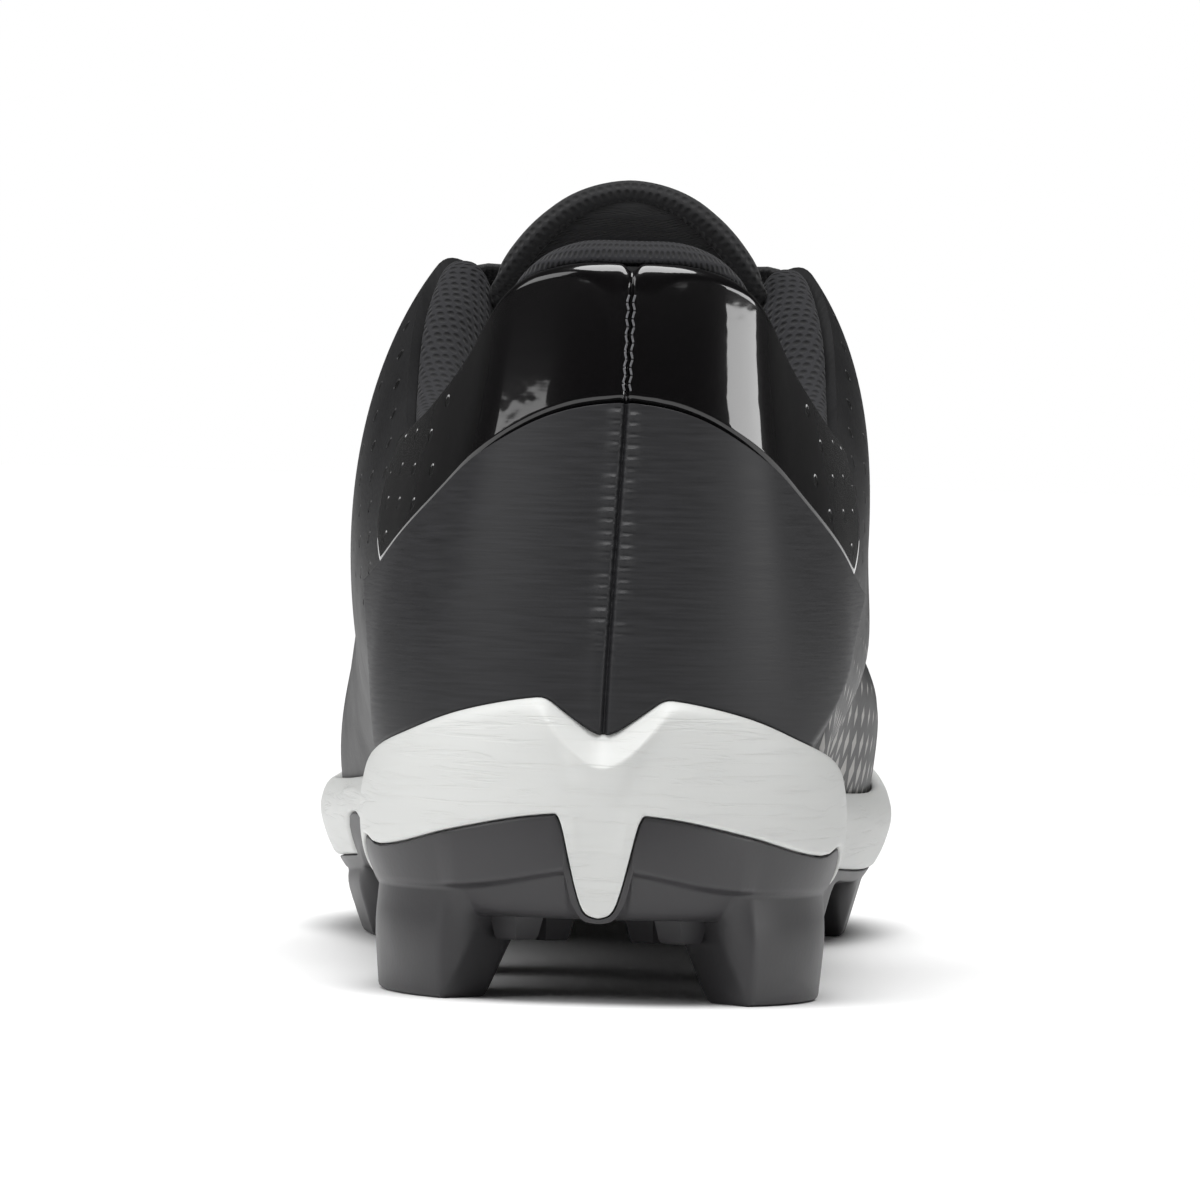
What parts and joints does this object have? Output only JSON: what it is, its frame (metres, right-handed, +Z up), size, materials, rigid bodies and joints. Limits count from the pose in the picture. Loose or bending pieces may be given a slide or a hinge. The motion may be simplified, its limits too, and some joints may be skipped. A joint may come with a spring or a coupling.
{
  "type": "softball cleat",
  "caption": "Low left softball cleat with moulded rubber studs, a white foam midsole with a notched heel band, a glossy heel collar and a padded mesh lining.",
  "frame": {"origin": "on the floor, under the middle of the shoe's box", "axes": "+Y from heel to toe, +X to the inner side of the foot, +Z up"},
  "size_m": [0.0932, 0.272, 0.1168],
  "materials": {
    "outsole": "satin moulded rubber",
    "midsole": "moulded foam",
    "insole": "woven cover on foam",
    "upper": "matt synthetic",
    "heel_counter": "finely streaked satin synthetic",
    "collar_panel": "patent gloss",
    "eyestay": "matt synthetic",
    "collar_lining": "padded mesh",
    "tongue": "padded mesh",
    "lace": "flat woven"
  },
  "bodies": {
    "root": {"outsole": "outsole", "midsole": "midsole", "insole": "insole", "upper": "upper", "heel_counter": "heel_counter", "collar_panel": "collar_panel", "eyestay": "eyestay", "collar_lining": "collar_lining", "tongue": "tongue", "lace": "lace"}
  },
  "joints": []
}
